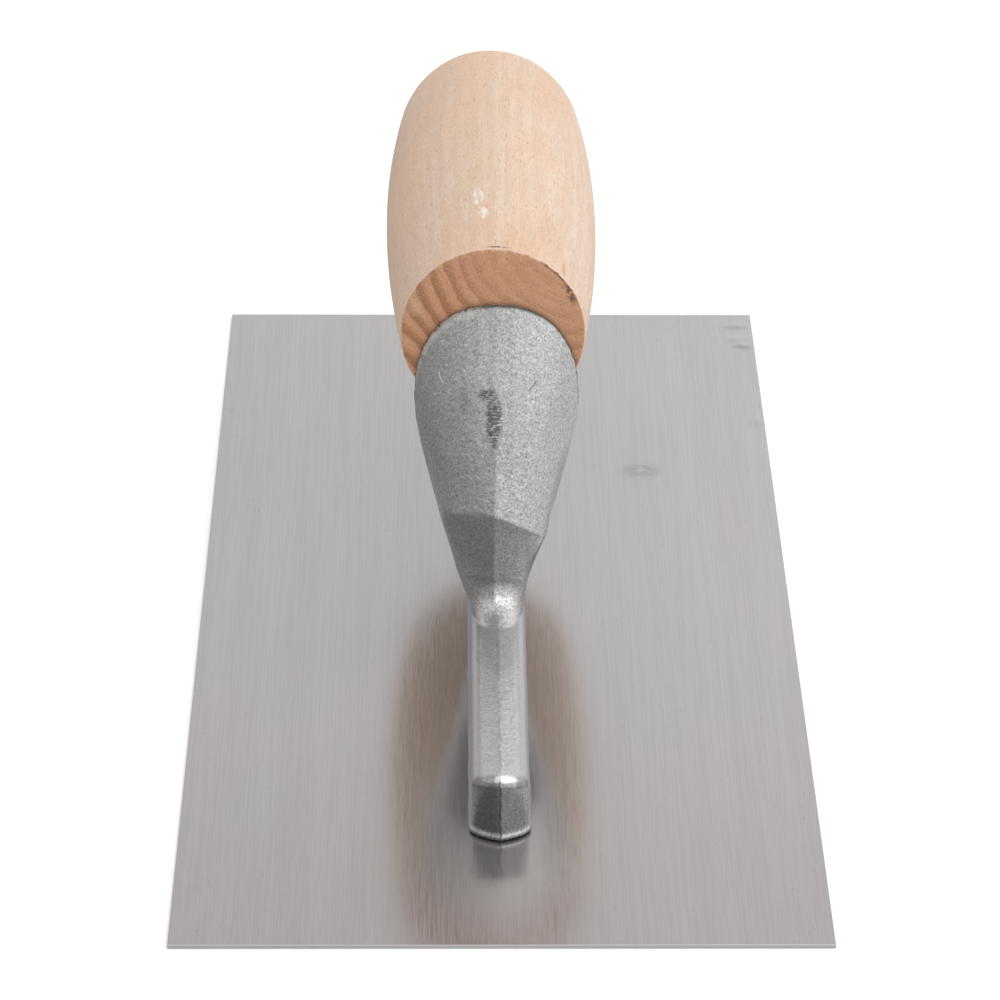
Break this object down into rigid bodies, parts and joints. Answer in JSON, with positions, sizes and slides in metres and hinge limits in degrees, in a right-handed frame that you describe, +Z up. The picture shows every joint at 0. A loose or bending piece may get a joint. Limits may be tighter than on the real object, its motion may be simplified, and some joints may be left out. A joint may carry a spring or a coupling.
{
  "type": "rectangular plastering trowel",
  "caption": "Rectangular plastering trowel: thin steel blade on a cast aluminium mounting with a swan neck and a turned wooden handle that lies over the blade.",
  "frame": {"origin": "middle of the blade's lower face, which is the working face", "axes": "+Z up out of the blade towards the handle, +Y along the blade and the handle from toe to heel, +X across the blade"},
  "size_m": [0.13, 0.28, 0.0958],
  "materials": {
    "blade_steel": "satin, fine lengthwise grinding lines",
    "cast_aluminium": "blasted, coarse sparkling grain",
    "raw_beech": "raw, turned and sanded",
    "rivet_steel": "ground flush",
    "zinc_steel": "zinc plated"
  },
  "bodies": {
    "root": {"blade": "blade_steel", "mounting": "cast_aluminium", "handle": "raw_beech", "handle_screw": "zinc_steel", "screw_washer": "zinc_steel", "rivet_1": "rivet_steel", "rivet_2": "rivet_steel", "rivet_3": "rivet_steel", "rivet_4": "rivet_steel", "rivet_5": "rivet_steel", "rivet_6": "rivet_steel"}
  },
  "joints": []
}
